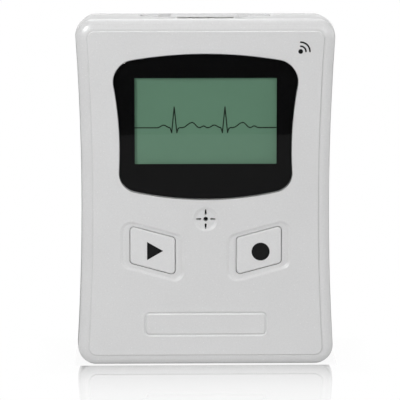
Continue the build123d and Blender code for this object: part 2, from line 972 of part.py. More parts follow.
def hump(start, peak, end, height):
    """Points of a smooth rise to a peak and a fall from it, each as half of a cosine wave."""
    points = []
    for step in range(hump_steps + 1):
        turn = pi * step / hump_steps
        points.append((start + (peak - start) * step / hump_steps, height * (1 - cos(turn)) / 2))
    for step in range(1, hump_steps + 1):
        turn = pi * step / hump_steps
        points.append((peak + (end - peak) * step / hump_steps, height * (1 + cos(turn)) / 2))
    return points


def one_beat(x):
    """The points of one heartbeat whose spike stands at x."""
    points = hump(-atrial_start, -atrial_peak, -atrial_end, atrial_height)
    points += [(-dip_shoulder, -dip_shoulder_drop), (-dip_offset, -dip_depth), (0, spike_height)]
    points += [(dip_offset, -dip_depth), (dip_shoulder, -dip_shoulder_drop), (spike_end, 0)]
    points += hump(recovery_start, recovery_peak, recovery_end, recovery_height)
    points += hump(after_start, after_peak, after_end, after_height)
    return [(x + along, trace_rest_height + up) for along, up in points]


def display_trace():
    """The heart trace, a thin dark line on the glass across the whole view."""
    half = view_width / 2
    points = [(-half, trace_rest_height)]
    for beat in range(beat_count):
        points += one_beat(first_beat_x + beat * beat_spacing)
    points.append((half, trace_rest_height))
    line = Circle(trace_line / 2).moved(Pos(*points[0]))
    for (start_x, start_z), (end_x, end_z) in zip(points, points[1:]):
        length = hypot(end_x - start_x, end_z - start_z)
        turn = degrees(atan2(end_z - start_z, end_x - start_x))
        middle = Pos((start_x + end_x) / 2, (start_z + end_z) / 2)
        line += middle * Rot(0, 0, turn) * SlotOverall(length + trace_line, trace_line)
    return slab(line & view_outline(), glass_front_y - trace_thickness, glass_front_y)


def button(side):
    """A push button: its cap, the flange that keeps it in, and the post that reaches the switch."""
    cap = slab(button_outline(side), button_front_y, flange_front_y)
    cap = fillet(edges_at_depth(cap, button_front_y), button_edge_round)
    flange = button_outline(side, button_flange, button_flange, button_corner + button_flange)
    centre = (side * button_spacing / 2, button_centre_height)
    post = rod(button_post_radius, *centre, flange_rear_y - overrun, plunger_front_y)
    return cap + slab(flange, flange_front_y, flange_rear_y) + post


def play_symbol():
    """The triangle printed on the play button."""
    x = -button_spacing / 2 + play_symbol_shift
    half_width = play_symbol_width / 2
    half_height = play_symbol_height / 2
    points = [(-half_width, half_height), (half_width, 0), (-half_width, -half_height)]
    z = button_centre_height - play_symbol_drop
    triangle = Pos(x, z) * make_face(Polyline(*points, close=True))
    return slab(triangle, button_front_y - symbol_thickness, button_front_y)


def record_symbol():
    """The disc printed on the record button."""
    x = button_spacing / 2 + record_symbol_shift
    z = button_centre_height - record_symbol_drop
    disc = Pos(x, z) * Circle(record_symbol_radius)
    return slab(disc, button_front_y - symbol_thickness, button_front_y)


def plunger(side):
    """The part of a switch that the button pushes."""
    centre = (side * button_spacing / 2, button_centre_height)
    return rod(plunger_radius, *centre, plunger_front_y, switch_front_y + plunger_depth)


def switch_bodies():
    """The two switch housings, each with a bore for its plunger."""
    bodies = []
    for side in (-1, 1):
        centre = (side * button_spacing / 2, button_centre_height)
        housing = slab(Pos(*centre) * Rectangle(switch_width, switch_width), switch_front_y, board_front_y)
        bore = plunger_radius + plunger_gap
        bore_depth = plunger_depth + button_travel + switch_bore_spare
        housing -= rod(bore, *centre, switch_front_y - overrun, switch_front_y + bore_depth)
        bodies.append(housing)
    return bodies


def switch_covers():
    """The sheet-metal covers on the two switches."""
    covers = []
    size = switch_width - 2 * switch_cover_margin
    for side in (-1, 1):
        centre = (side * button_spacing / 2, button_centre_height)
        plate = Rectangle(size, size) - Circle(plunger_radius + plunger_gap)
        covers.append(slab(Pos(*centre) * plate, switch_cover_y, switch_front_y))
    return covers


def signal_sign():
    """The printed sign: a dot and two quarter rings that open up and to the right."""
    shapes = [Circle(sign_dot_radius)]
    for radius in (sign_inner_radius, sign_outer_radius):
        ring = Circle(radius + sign_stroke / 2) - Circle(radius - sign_stroke / 2)
        size = radius + sign_stroke
        quarter = ring & (Pos(size / 2, size / 2) * Rectangle(size, size))
        quarter += Pos(radius, 0) * Circle(sign_stroke / 2)
        quarter += Pos(0, radius) * Circle(sign_stroke / 2)
        shapes.append(quarter)
    place = Pos(sign_x, sign_height)
    return [slab(place * shape, front_y - sign_thickness, front_y) for shape in shapes]


def microphone():
    """The microphone capsule and its two pins."""
    front = front_inner_y + boot_front
    rear = front + microphone_length
    capsule = rod(microphone_radius, 0, port_height, front, rear)
    for side in (-1, 1):
        pin_x = side * microphone_pin_spacing / 2
        capsule += rod(microphone_pin_radius, pin_x, port_height, rear - overrun, board_front_y)
    return capsule


def microphone_boot():
    """The rubber boot that seals the microphone to the port."""
    boot = rod(microphone_radius + boot_wall, 0, port_height, front_inner_y, board_front_y)
    boot -= rod(boot_mouth_radius, 0, port_height, front_inner_y - overrun, board_front_y)
    seat_front = front_inner_y + boot_front
    boot -= rod(microphone_radius, 0, port_height, seat_front, board_front_y + overrun)
    return boot


def microphone_felt():
    """The disc of black felt on the capsule's face, seen through the port."""
    rear = front_inner_y + boot_front
    return rod(felt_radius, 0, port_height, rear - felt_thickness, rear)


def main_board():
    """The circuit board, cut away round the corner bosses and the lead socket."""
    middle = (board_bottom + board_top) / 2
    outline = Pos(0, middle) * Rectangle(board_width, board_top - board_bottom)
    for x, z in corner_places():
        outline -= Pos(x, z) * Circle(boss_radius + board_corner_gap)
        outline -= board_corner_cut(x, z)
    for x, z in stud_places():
        outline -= Pos(x, z) * Circle(stud_screw_radius + plunger_gap)
    socket_half = socket_width / 2 + socket_hole_gap
    notch_low = socket_base - socket_hole_gap
    notch_size = (2 * socket_half, board_top - notch_low + overrun)
    outline -= Pos(0, notch_low) * Rectangle(*notch_size, align=(Align.CENTER, Align.MIN))
    return slab(outline, board_front_y, board_rear_y)


def board_corner_cut(x, z):
    """The square corner beyond a boss, which the board leaves free."""
    reach = boss_radius + board_corner_gap
    side = 1 if x > 0 else -1
    end = 1 if z > outline_mid else -1
    size = boss_inset + reach
    return Pos(x + side * (size / 2 - reach), z + end * (size / 2)) * Rectangle(size, size)


def board_place(shares):
    """A place on the board, from shares of the board's width and the case's height."""
    across_share, up_share = shares
    return Pos(board_width * across_share, case_height * up_share)


def board_chip(shares, width, height, thickness):
    """A flat component on the back of the board."""
    return slab(board_place(shares) * Rectangle(width, height), board_rear_y, board_rear_y + thickness)


def amplifier_chips():
    """The input amplifiers, in a row low on the back of the board."""
    size = (amplifier_size, amplifier_size, amplifier_thickness)
    return [board_chip(shares, *size) for shares in amplifier_place_shares]


def capacitors():
    """The round capacitors, standing on the back of the board."""
    return [
        slab(board_place(shares) * Circle(capacitor_radius), board_rear_y, board_rear_y + capacitor_length)
        for shares in capacitor_place_shares
    ]


def antenna_chip():
    """The small ceramic antenna on the board's front, beside the display."""
    place = Pos(board_width / 2 - antenna_edge_inset, case_height * antenna_height_share)
    outline = place * Rectangle(antenna_width, antenna_height)
    return slab(outline, board_front_y - antenna_thickness, board_front_y)


def socket_shell():
    """The folded metal shell of the lead socket, with an ear on each side that rests on the board."""
    inner = Pos(0, socket_y) * RectangleRounded(
        socket_width - 2 * socket_wall, socket_height - 2 * socket_wall, socket_corner - socket_wall
    )
    ring = socket_outline() - inner
    shell = extrude(Pos(0, 0, socket_base) * ring, amount=socket_length)
    ear_half = socket_width / 2
    for side in (-1, 1):
        across = sorted((side * (ear_half - socket_wall), side * (ear_half + socket_ear_width)))
        heights = (socket_base + socket_ear_length, socket_base + 2 * socket_ear_length)
        shell += block(across, (board_rear_y, board_rear_y + socket_wall), heights)
    return shell


def socket_tongue():
    """The moulded insert of the lead socket: a root that fills the shell and a thin tongue."""
    inside = socket_wall + tongue_fit
    root = Pos(0, socket_y) * RectangleRounded(
        socket_width - 2 * inside, socket_height - 2 * inside, socket_corner - socket_wall
    )
    insert = extrude(Pos(0, 0, socket_base) * root, amount=tongue_root)
    top = socket_mouth - tongue_mouth_gap
    half = tongue_width / 2
    thick = tongue_thickness / 2
    insert += block((-half, half), (socket_y - thick, socket_y + thick), (socket_base, top))
    return insert


def socket_contacts():
    """The gilded contact strips on both faces of the tongue."""
    strips = []
    low = socket_base + tongue_root
    for index in range(contact_count):
        x = (index - (contact_count - 1) / 2) * contact_pitch
        across = (x - contact_width / 2, x + contact_width / 2)
        for side in (-1, 1):
            face = socket_y + side * tongue_thickness / 2
            depths = sorted((face, face + side * contact_thickness))
            strips.append(block(across, depths, (low, low + contact_length)))
    return strips


def cell_places():
    """Each battery's x, and whether its positive end is up."""
    return [(-cell_spacing / 2, True), (cell_spacing / 2, False)]


def cell_range(positive_up):
    """Lowest and highest point of a battery's steel can, without its nub."""
    if positive_up:
        low = bay_bottom + spring_reach
    else:
        low = bay_bottom + contact_plate_thickness + cell_nub_height
    return (low, low + cell_length)


def battery_cells():
    """The two steel battery cans, each with its nub, lying opposite ways."""
    cells = []
    for x, positive_up in cell_places():
        low, high = cell_range(positive_up)
        can = upright_rod(cell_radius - cell_sleeve, x, cell_y, low, high)
        if positive_up:
            can += upright_rod(cell_nub_radius, x, cell_y, high, high + cell_nub_height)
        else:
            can += upright_rod(cell_nub_radius, x, cell_y, low - cell_nub_height, low)
        cells.append(can)
    return cells


def battery_sleeves():
    """The plastic sleeves round the two batteries."""
    sleeves = []
    for x, positive_up in cell_places():
        low, high = cell_range(positive_up)
        low += cell_bare_end
        high -= cell_bare_end
        sleeve = upright_rod(cell_radius, x, cell_y, low, high)
        sleeve -= upright_rod(cell_radius - cell_sleeve, x, cell_y, low - overrun, high + overrun)
        sleeves.append(sleeve)
    return sleeves


def contact_plate(x, end_z, inwards):
    """A flat contact on an end wall of the bay, with its tail down to the board."""
    heights = sorted((end_z, end_z + inwards * contact_plate_thickness))
    half = contact_plate_width / 2
    low_y = bay_floor_y
    plate = block((x - half, x + half), (low_y, low_y + contact_plate_height), heights)
    half_tail = tail_width / 2
    tail = block((x - half_tail, x + half_tail), (board_rear_y, low_y + overrun), heights)
    return plate + tail


def battery_plates():
    """The flat contacts that meet the batteries' nubs."""
    left, right = (x for x, _ in cell_places())
    return [contact_plate(left, bay_top, -1), contact_plate(right, bay_bottom, 1)]


def spring_leaf(x, end_z, inwards):
    """A bowed leaf that springs from its contact plate and presses on the battery's flat end."""
    foot_z = end_z + inwards * contact_plate_thickness / 2
    crest_z = end_z + inwards * (spring_reach - spring_leaf_thickness / 2)
    foot_y = bay_floor_y + spring_leaf_thickness
    bow = ThreePointArc((foot_y, foot_z), (cell_y, crest_z), (2 * cell_y - foot_y, foot_z))
    side_plane = Plane(origin=(x - spring_leaf_width / 2, 0, 0), x_dir=(0, 1, 0), z_dir=(1, 0, 0))
    return extrude(side_plane * trace(bow, spring_leaf_thickness), amount=spring_leaf_width, dir=(1, 0, 0))


def battery_springs():
    """The sprung contacts that meet the batteries' flat ends."""
    left, right = (x for x, _ in cell_places())
    springs = []
    for x, end_z, inwards in ((left, bay_bottom, 1), (right, bay_top, -1)):
        springs.append(contact_plate(x, end_z, inwards) + spring_leaf(x, end_z, inwards))
    return springs


def threaded_inserts():
    """The brass inserts in the front cover's corner bosses."""
    front = parting_y - boss_gap - insert_length
    inserts = []
    for x, z in corner_places():
        insert = rod(insert_radius, x, z, front, parting_y - boss_gap)
        inserts.append(insert - rod(screw_radius, x, z, front - overrun, parting_y))
    return inserts


def cross_recess(x, z, head_y):
    """The cross in a screw head that faces the back."""
    bar = Rectangle(cross_length, cross_width) + Rectangle(cross_width, cross_length)
    return slab(Pos(x, z) * bar, head_y - cross_depth, head_y + overrun)


def case_screws():
    """The four screws that draw the rear cover to the inserts."""
    screws = []
    for x, z in corner_places():
        head_y = screw_seat_y + screw_head_height
        screw = rod(screw_head_radius, x, z, screw_seat_y, head_y)
        neck_y = screw_seat_y + screw_head_height / 4
        screw += rod(screw_radius, x, z, parting_y - screw_reach, neck_y)
        screws.append(screw - cross_recess(x, z, head_y))
    return screws


def board_screws():
    """The four small screws that hold the board."""
    screws = []
    for x, z in stud_places():
        head = rod(stud_head_radius, x, z, board_rear_y, board_rear_y + stud_head_height)
        head -= slab(
            Pos(x, z) * Rectangle(stud_head_radius, cross_width),
            board_rear_y + stud_head_height - cross_depth / 2,
            board_rear_y + stud_head_height + overrun,
        )
        neck_y = board_rear_y + stud_head_height / 4
        shank = rod(stud_screw_radius, x, z, board_front_y - stud_screw_length, neck_y)
        screws.append(head + shank)
    return screws


def write(name, shape):
    """Write one piece, or one group of like pieces, to its own file."""
    solids = []
    for piece in shape if isinstance(shape, list) else [shape]:
        solids.extend(piece.solids())
    body = solids[0] if len(solids) == 1 else Compound(children=solids)
    body.label = name
    export_step(body, f"parts/{name}.step")


pieces = {
    "front_cover": front_cover,
    "rear_cover": rear_cover,
    "battery_door": battery_door,
    "hinge_pin": hinge_pin,
    "lens_window": lens_window,
    "lens_mask": lens_mask,
    "lens_tape": lens_tape,
    "display_glass": display_glass,
    "display_trace": display_trace,
    "display_frame": display_frame,
    "display_backlight": display_backlight,
    "zebra_strip": zebra_strip,
    "play_button": lambda: button(-1),
    "play_symbol": play_symbol,
    "play_plunger": lambda: plunger(-1),
    "record_button": lambda: button(1),
    "record_symbol": record_symbol,
    "record_plunger": lambda: plunger(1),
    "switch_bodies": switch_bodies,
    "switch_covers": switch_covers,
    "signal_sign": signal_sign,
    "microphone": microphone,
    "microphone_boot": microphone_boot,
    "microphone_felt": microphone_felt,
    "main_board": main_board,
    "processor_chip": lambda: board_chip(
        processor_place_shares, processor_size, processor_size, processor_height
    ),
    "memory_chip": lambda: board_chip(
        memory_place_shares, memory_width, memory_height, memory_thickness
    ),
    "amplifier_chips": amplifier_chips,
    "crystal": lambda: board_chip(
        crystal_place_shares, crystal_width, crystal_height, crystal_thickness
    ),
    "capacitors": capacitors,
    "power_inductor": lambda: board_chip(
        inductor_place_shares, inductor_size, inductor_size, inductor_thickness
    ),
    "antenna_chip": antenna_chip,
    "socket_shell": socket_shell,
    "socket_tongue": socket_tongue,
    "socket_contacts": socket_contacts,
    "battery_cells": battery_cells,
    "battery_sleeves": battery_sleeves,
    "battery_plates": battery_plates,
    "battery_springs": battery_springs,
    "threaded_inserts": threaded_inserts,
    "case_screws": case_screws,
    "board_screws": board_screws,
}

os.makedirs("parts", exist_ok=True)
for name, make in pieces.items():
    write(name, make())
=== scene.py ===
import json
import math

import bpy
import numpy as np
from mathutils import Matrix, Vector


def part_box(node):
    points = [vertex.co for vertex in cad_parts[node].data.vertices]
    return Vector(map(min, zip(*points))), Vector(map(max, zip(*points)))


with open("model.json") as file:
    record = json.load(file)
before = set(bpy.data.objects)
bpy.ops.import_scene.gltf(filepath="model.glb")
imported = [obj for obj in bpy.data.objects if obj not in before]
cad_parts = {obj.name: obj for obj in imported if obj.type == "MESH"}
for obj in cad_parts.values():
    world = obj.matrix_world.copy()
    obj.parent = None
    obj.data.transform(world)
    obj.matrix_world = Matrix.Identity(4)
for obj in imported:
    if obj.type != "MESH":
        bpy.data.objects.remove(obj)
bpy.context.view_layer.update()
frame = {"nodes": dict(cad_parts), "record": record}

# The recorder stands on its base, front towards -Y. Lengths are in metres, or in millimetres times MM.
MM = 0.001

# Camera. It looks at LOOK_AT from its distance, raised and turned to the left by its angles. LOOK_PIXEL is
# where that point falls in the image.
IMAGE_SIDE = 400
LOOK_AT = Vector((0, 0, 46.45 * MM))
CAMERA_DISTANCE = 650 * MM
CAMERA_ELEVATION = math.radians(9.1)
CAMERA_TURN = math.radians(1.0)
FOCAL_PIXELS = 2417
LOOK_PIXEL = (205.0, 186.7)
SENSOR = 36.0

# Floor: a pale sheet with a round front end
FLOOR_HALF_WIDTH = 0.9
FLOOR_BACK = 1.6
FLOOR_FRONT = 0.46
FLOOR_CORNER = 0.3
CORNER_POINTS = 13
PAPER_DARK = (0.64, 0.64, 0.64)
PAPER_PALE = (0.66, 0.66, 0.66)

# The camera sees the sheet as white, and a little less so close to the recorder.
SHADOW_REACH = 12 * MM
WHITE_BESIDE = 0.93

# The sheet's polish starts just before the recorder and fades with distance.
POLISH_START = 0.3 * MM
POLISH_RISE = 0.5 * MM
POLISH_FADE = 25 * MM
POLISH = 0.76
POLISH_ROUGHNESS = 0.05

# The sheet as the recorder's own shine shows it: distance before the front, and brightness there
MIRRORED_NEAR = (80 * MM, 0.6)
MIRRORED_FAR = (240 * MM, 0.17)
MIRRORED_BEHIND = (-20 * MM, 0.4)

# Studio lamps: name, place, side lengths, power, and whether shiny surfaces show the lamp
LAMPS = (
    ("top_light", (0.0, 0.05, 0.85), (0.8, 0.5), 1.85, True),
    ("edge_light", (0.0, -0.25, 0.85), (0.5, 0.06), 0.35, True),
    ("left_light", (-0.32, -0.60, 0.33), (0.12, 0.12), 2.84, True),
    ("right_light", (0.40, -0.80, 0.32), (0.12, 0.12), 0.86, True),
    ("side_light", (0.85, -0.25, 0.25), (0.4, 0.5), 1.95, True),
    ("back_light", (0.1, 0.95, 0.3), (0.5, 0.4), 2.4, False),
)

# Brightness of the sky for matt surfaces
SKY_STRENGTH = 0.028

# The room as shiny surfaces and glass see it. It is white behind the recorder and as dark as ROOM_STRENGTH in
# front. ROOM_EDGE says where it changes, from -1 straight in front to 1 straight behind.
ROOM_STRENGTH = 0.02
ROOM_EDGE = (-0.05, 0.1)

# The room's upper half: height of the direction, from 0 level to 1 upright, and brightness there
CEILING = ((0.0, 0.0), (0.12, 1.0), (0.45, 1.0), (0.55, 0.1), (0.75, 0.1), (0.9, 4.6))

# Colour of moulded plastic: the size of its clouds in millimetres, the strength of its mottle beside that of
# the clouds, and how far both together may change it
CLOUD_SIZE = 16.0
MOTTLE_STRENGTH = 2.2
TONE_REACH = 3

# Pale flecks: spacing, size, and the share of places that hold one. Dark specks: spacing and size.
FLECKS = (0.9, 0.15, 0.35)
FLECK_COLOUR = (0.98, 0.98, 0.98)
SPECKS = (5.0, 0.16)
SPECK_STRENGTH = 0.35

# Dust and painted shade darken places where walls stand nearer than this, in millimetres.
DUST_AND_SHADE_REACH = 0.7

# Display: the spacing of its dots in millimetres, the gap as a share of that, and its colours
DISPLAY_DOT = 0.29
DISPLAY_GAP = 0.06
DISPLAY_DARK = (0.088, 0.168, 0.114)
DISPLAY_PALE = (0.091, 0.174, 0.118)
GRID_COLOUR = (0.035, 0.065, 0.05)
GRID_STRENGTH = 0.06
# A dim backlight's glow, which is also painted light that lifts the shade the mask casts at the display's
# edges
BACKLIGHT_AND_FILL_COLOUR = (0.30, 0.58, 0.39, 1.0)
BACKLIGHT_AND_FILL_STRENGTH = 0.11


class Nodes:
    """A node tree, and short ways to build it."""

    def __init__(self, tree):
        self.tree = tree

    def add(self, kind, **settings):
        """A new node with these settings."""
        node = self.tree.nodes.new(kind)
        for setting, value in settings.items():
            setattr(node, setting, value)
        return node

    def put(self, value, socket):
        """Link a socket, or write a plain value, to an input."""
        if isinstance(value, bpy.types.NodeSocket):
            self.tree.links.new(value, socket)
        else:
            socket.default_value = value

    def ramp(self, value, low, high, to_low=0.0, to_high=1.0):
        """A value from low to high, carried to to_low to to_high and held at both ends."""
        node = self.add("ShaderNodeMapRange")
        self.put(value, node.inputs["Value"])
        for name, number in (("From Min", low), ("From Max", high), ("To Min", to_low), ("To Max", to_high)):
            node.inputs[name].default_value = number
        return node.outputs["Result"]

    def steps(self, value, stops):
        """A value carried along lines between stops of (value, result), and held beyond them."""
        peak = max(result for _, result in stops)
        node = self.add("ShaderNodeValToRGB")
        elements = node.color_ramp.elements
        elements[0].position, elements[1].position = stops[0][0], stops[-1][0]
        for position, _ in stops[1:-1]:
            elements.new(position)
        for element, (_, result) in zip(elements, stops):
            element.color = (result / peak, result / peak, result / peak, 1.0)
        self.put(value, node.inputs["Fac"])
        return self.join(node.outputs["Color"], peak, "MULTIPLY")

    def join(self, first, second, operation="ADD"):
        """Two values added, or joined by another operation."""
        node = self.add("ShaderNodeMath", operation=operation)
        self.put(first, node.inputs[0])
        self.put(second, node.inputs[1])
        return node.outputs["Value"]

    def blend(self, share, first, second):
        """A number between two numbers."""
        node = self.add("ShaderNodeMix")
        for name, value in (("Factor", share), ("A", first), ("B", second)):
            self.put(value, node.inputs[name])
        return node.outputs["Result"]

    def mix(self, share, first, second):
        """Two surfaces mixed, with this share of the second."""
        node = self.add("ShaderNodeMixShader")
        for value, socket in zip((share, first, second), node.inputs):
            self.put(value, socket)
        return node.outputs["Shader"]


class Finish(Nodes):
    """One material and its nodes. Patterns lie in the part's own frame, with sizes in millimetres."""

    def __init__(self, name):
        self.material = bpy.data.materials.new(name)
        self.material.use_nodes = True
        super().__init__(self.material.node_tree)
        self.surface = self.tree.nodes["Principled BSDF"]
        self.output = self.tree.nodes["Material Output"]
        self.place = self.add("ShaderNodeTexCoord").outputs["Object"]
        self.bumped = None

    def set(self, **values):
        """Set the surface's inputs, named with underscores for spaces."""
        for name, value in values.items():
            self.put(value, self.surface.inputs[name.replace("_", " ")])

    def moved(self, scale=(1, 1, 1), turn=(0, 0, 0)):
        """The part's frame stretched and turned, for a pattern that isn't even all round."""
        node = self.add("ShaderNodeMapping")
        self.put(self.place, node.inputs["Vector"])
        node.inputs["Scale"].default_value = scale
        node.inputs["Rotation"].default_value = turn
        return node.outputs["Vector"]

    def noise(self, size, detail=2.0, rough=0.5, place=None):
        """Cloudy noise with features of this size, from 0 to 1."""
        node = self.add("ShaderNodeTexNoise")
        self.put(place or self.place, node.inputs["Vector"])
        node.inputs["Scale"].default_value = 1 / (size * MM)
        node.inputs["Detail"].default_value = detail
        node.inputs["Roughness"].default_value = rough
        return node.outputs["Fac"]

    def cells(self, size, feature="F1", output="Distance"):
        """Cells of this size: the distance to the nearest centre, or each cell's own random colour."""
        node = self.add("ShaderNodeTexVoronoi", feature=feature)
        self.put(self.place, node.inputs["Vector"])
        node.inputs["Scale"].default_value = 1 / (size * MM)
        return node.outputs[output]

    def tint(self, share, first, second):
        """A colour between two colours."""
        node = self.add("ShaderNodeMix", data_type="RGBA")
        self.put(share, node.inputs["Factor"])
        for socket, colour in ((node.inputs["A"], first), (node.inputs["B"], second)):
            self.put(colour if isinstance(colour, bpy.types.NodeSocket) else (*colour, 1.0), socket)
        return node.outputs["Result"]

    def relief(self, height, depth):
        """Bump of this depth in millimetres, on top of any bump before it."""
        node = self.add("ShaderNodeBump")
        self.put(height, node.inputs["Height"])
        node.inputs["Distance"].default_value = depth * MM
        if self.bumped is not None:
            self.put(self.bumped, node.inputs["Normal"])
        self.bumped = node.outputs["Normal"]
        self.put(self.bumped, self.surface.inputs["Normal"])

    def specks(self, spacing, size, share):
        """Scattered specks: 1 inside one, 0 elsewhere. Only this share of the cells holds one."""
        near = self.cells(spacing)
        spot = self.ramp(near, size / spacing, 0.6 * size / spacing)
        chance = self.add("ShaderNodeSeparateColor")
        self.put(self.cells(spacing, output="Color"), chance.inputs["Color"])
        chosen = self.ramp(chance.outputs["Red"], share, share * 0.98)
        return self.join(spot, chosen, "MULTIPLY")

    def shelter(self, reach, samples=6):
        """How far a place is sheltered by walls within this reach: 0 in the open, 1 deep in a gap."""
        node = self.add("ShaderNodeAmbientOcclusion", samples=samples)
        node.inputs["Distance"].default_value = reach * MM
        return self.ramp(node.outputs["AO"], 0.35, 0.95, 1.0, 0.0)


def shade(colour, factor):
    """A colour made lighter or darker."""
    return tuple(min(1.0, channel * factor) for channel in colour)


def moulded(name, colour, grain=0.45, depth=0.006, roughness=0.3, uneven=0.01, dust_and_shade=0.0, flecks=0.0,
            speck_share=0.0):
    """Moulded plastic: spark-eroded grain, a fine mottle and faint clouds in its colour, a nearly even
    polish, pale flecks, rare dark specks, and dust with painted shade darkening its gaps."""
    finish = Finish(name)
    mottling, spread = MOTTLE_STRENGTH * uneven, TONE_REACH * uneven
    clouds = finish.ramp(finish.noise(CLOUD_SIZE, detail=3.0), 0.3, 0.7, -uneven, uneven)
    mottle = finish.ramp(finish.noise(grain * 0.9), 0.3, 0.7, -mottling, mottling)
    tone = finish.ramp(finish.join(clouds, mottle), -spread, spread)
    base = finish.tint(tone, shade(colour, 1 - spread), shade(colour, 1 + spread))
    if flecks:
        base = finish.tint(finish.join(finish.specks(*FLECKS), flecks, "MULTIPLY"), base, FLECK_COLOUR)
    if speck_share:
        dark = finish.join(finish.specks(*SPECKS, speck_share), SPECK_STRENGTH, "MULTIPLY")
        base = finish.tint(dark, base, shade(colour, 0.3))
    # Darker where walls stand near: dust, and painted shade taken from an occlusion measure
    if dust_and_shade:
        dust_and_shade_mask = finish.join(finish.shelter(DUST_AND_SHADE_REACH), dust_and_shade, "MULTIPLY")
        base = finish.tint(dust_and_shade_mask, base, shade(colour, 0.45))
    worn = finish.noise(grain * 5, detail=4.0)
    finish.set(Base_Color=base, Roughness=finish.ramp(worn, 0.25, 0.75, roughness - 0.005, roughness + 0.01))
    finish.set(IOR=1.5)
    finish.relief(finish.noise(grain, detail=3.0, rough=0.6), depth)
    finish.relief(finish.noise(34.0, detail=1.0), 0.05)
    return finish.material


def printed(name, colour, roughness=0.45, film=0.002, shine=0.25):
    """Screen-printed ink: nearly even, with the mesh's faint grain. Ink against glass has no shine."""
    finish = Finish(name)
    cloud = finish.noise(0.8, detail=3.0)
    base = finish.tint(finish.ramp(cloud, 0.3, 0.7), shade(colour, 0.85), shade(colour, 1.2))
    gloss = finish.ramp(finish.noise(2.0), 0.3, 0.7, roughness - 0.05, roughness + 0.05)
    finish.set(Base_Color=base, Roughness=gloss, IOR=1.45, Specular_IOR_Level=shine)
    finish.relief(finish.cells(0.12), film)
    return finish.material


def rubber(name, colour, layers=0.0):
    """Silicone rubber: matt and dusty, with fine layers along x where it conducts through them."""
    finish = Finish(name)
    dusty = finish.ramp(finish.noise(0.7, detail=4.0), 0.35, 0.7)
    base = finish.tint(dusty, colour, shade(colour, 1.5))
    if layers:
        bands = finish.add("ShaderNodeTexWave", bands_direction="X")
        finish.put(finish.place, bands.inputs["Vector"])
        bands.inputs["Scale"].default_value = 0.3 / (layers * MM)
        base = finish.tint(bands.outputs["Fac"], base, shade(colour, 0.25))
    finish.set(Base_Color=base, Roughness=finish.ramp(dusty, 0.0, 1.0, 0.6, 0.78), IOR=1.42)
    finish.relief(finish.noise(0.25, detail=3.0), 0.008)
    return finish.material


def felt(name, colour):
    """Pressed felt: matt, with fibres lying every way and a faint pile."""
    finish = Finish(name)
    fibres = finish.noise(0.12, detail=4.0, rough=0.7)
    base = finish.tint(finish.ramp(fibres, 0.35, 0.7), colour, shade(colour, 2.0))
    finish.set(Base_Color=base, Roughness=0.95, Sheen_Weight=0.1)
    finish.relief(fibres, 0.03)
    return finish.material


def metal(name, colour, roughness=0.28, stretch=(1, 1, 12), line=0.18, depth=0.002, stain=0.12):
    """Plated or drawn metal: fine lines along its working direction, faint stains and a varied polish."""
    finish = Finish(name)
    lines = finish.noise(line, detail=3.0, place=finish.moved(scale=tuple(1 / s for s in stretch)))
    stains = finish.ramp(finish.noise(3.0, detail=4.0), 0.45, 0.75)
    base = finish.tint(finish.join(stains, stain, "MULTIPLY"), colour, shade(colour, 0.55))
    drawn = finish.ramp(lines, 0.3, 0.7, roughness - 0.06, roughness + 0.08)
    polish = finish.join(drawn, finish.ramp(stains, 0, 1, 0, 0.08))
    finish.set(Base_Color=base, Metallic=1.0, Roughness=polish)
    finish.relief(lines, depth)
    return finish.material


def clear_lens():
    """Polished acrylic with the faintest waviness. Lamps light what lies behind it."""
    finish = Finish("lens_clear")
    finish.set(Base_Color=(0.985, 0.995, 0.99, 1.0), Transmission_Weight=1.0, IOR=1.49)
    finish.set(Roughness=finish.ramp(finish.noise(9.0, detail=3.0), 0.35, 0.75, 0.0, 0.004))
    finish.relief(finish.noise(30.0, detail=0.0), 0.0004)
    through = finish.add("ShaderNodeBsdfTransparent").outputs["BSDF"]
    path = finish.add("ShaderNodeLightPath").outputs
    unseen = finish.join(path["Is Shadow Ray"], path["Is Diffuse Ray"], "MAXIMUM")
    both = finish.mix(unseen, finish.surface.outputs["BSDF"], through)
    finish.put(both, finish.output.inputs["Surface"])
    return finish.material


def display_face():
    """The display's grey-green field, a fine grid between its dots, and a dim glow: backlight and painted
    light over the shade at its edges.
    """
    finish = Finish("display_green")
    grid = finish.add("ShaderNodeTexBrick", offset=0.0)
    finish.put(finish.moved(turn=(math.radians(-90), 0, 0)), grid.inputs["Vector"])
    grid.inputs["Scale"].default_value = 1 / (DISPLAY_DOT * MM)
    grid.inputs["Mortar Size"].default_value = DISPLAY_GAP
    for name, number in (("Mortar Smooth", 0.5), ("Brick Width", 1.0), ("Row Height", 1.0)):
        grid.inputs[name].default_value = number
    field = finish.tint(finish.ramp(finish.noise(14.0), 0.3, 0.7), DISPLAY_DARK, DISPLAY_PALE)
    field = finish.tint(finish.join(grid.outputs["Fac"], GRID_STRENGTH, "MULTIPLY"), field, GRID_COLOUR)
    finish.set(Base_Color=field, Roughness=finish.ramp(finish.noise(6.0), 0.3, 0.7, 0.34, 0.37), IOR=1.5)
    finish.set(Specular_IOR_Level=0.06, Emission_Color=BACKLIGHT_AND_FILL_COLOUR, Emission_Strength=BACKLIGHT_AND_FILL_STRENGTH)
    return finish.material


def circuit_board():
    """Green solder mask over copper tracks and the weave of the laminate."""
    finish = Finish("board_green")
    tracks = finish.cells(2.6, feature="DISTANCE_TO_EDGE")
    copper = finish.ramp(tracks, 0.10, 0.06)
    weave = finish.add("ShaderNodeTexChecker")
    finish.put(finish.place, weave.inputs["Vector"])
    weave.inputs["Scale"].default_value = 1 / (0.4 * MM)
    base = finish.tint(copper, (0.012, 0.11, 0.045), (0.035, 0.22, 0.09))
    base = finish.tint(finish.join(weave.outputs["Fac"], 0.12, "MULTIPLY"), base, (0.01, 0.07, 0.03))
    finish.set(Base_Color=base, Roughness=finish.ramp(finish.noise(1.0), 0.3, 0.7, 0.26, 0.36), IOR=1.5)
    finish.relief(copper, 0.03)
    return finish.material


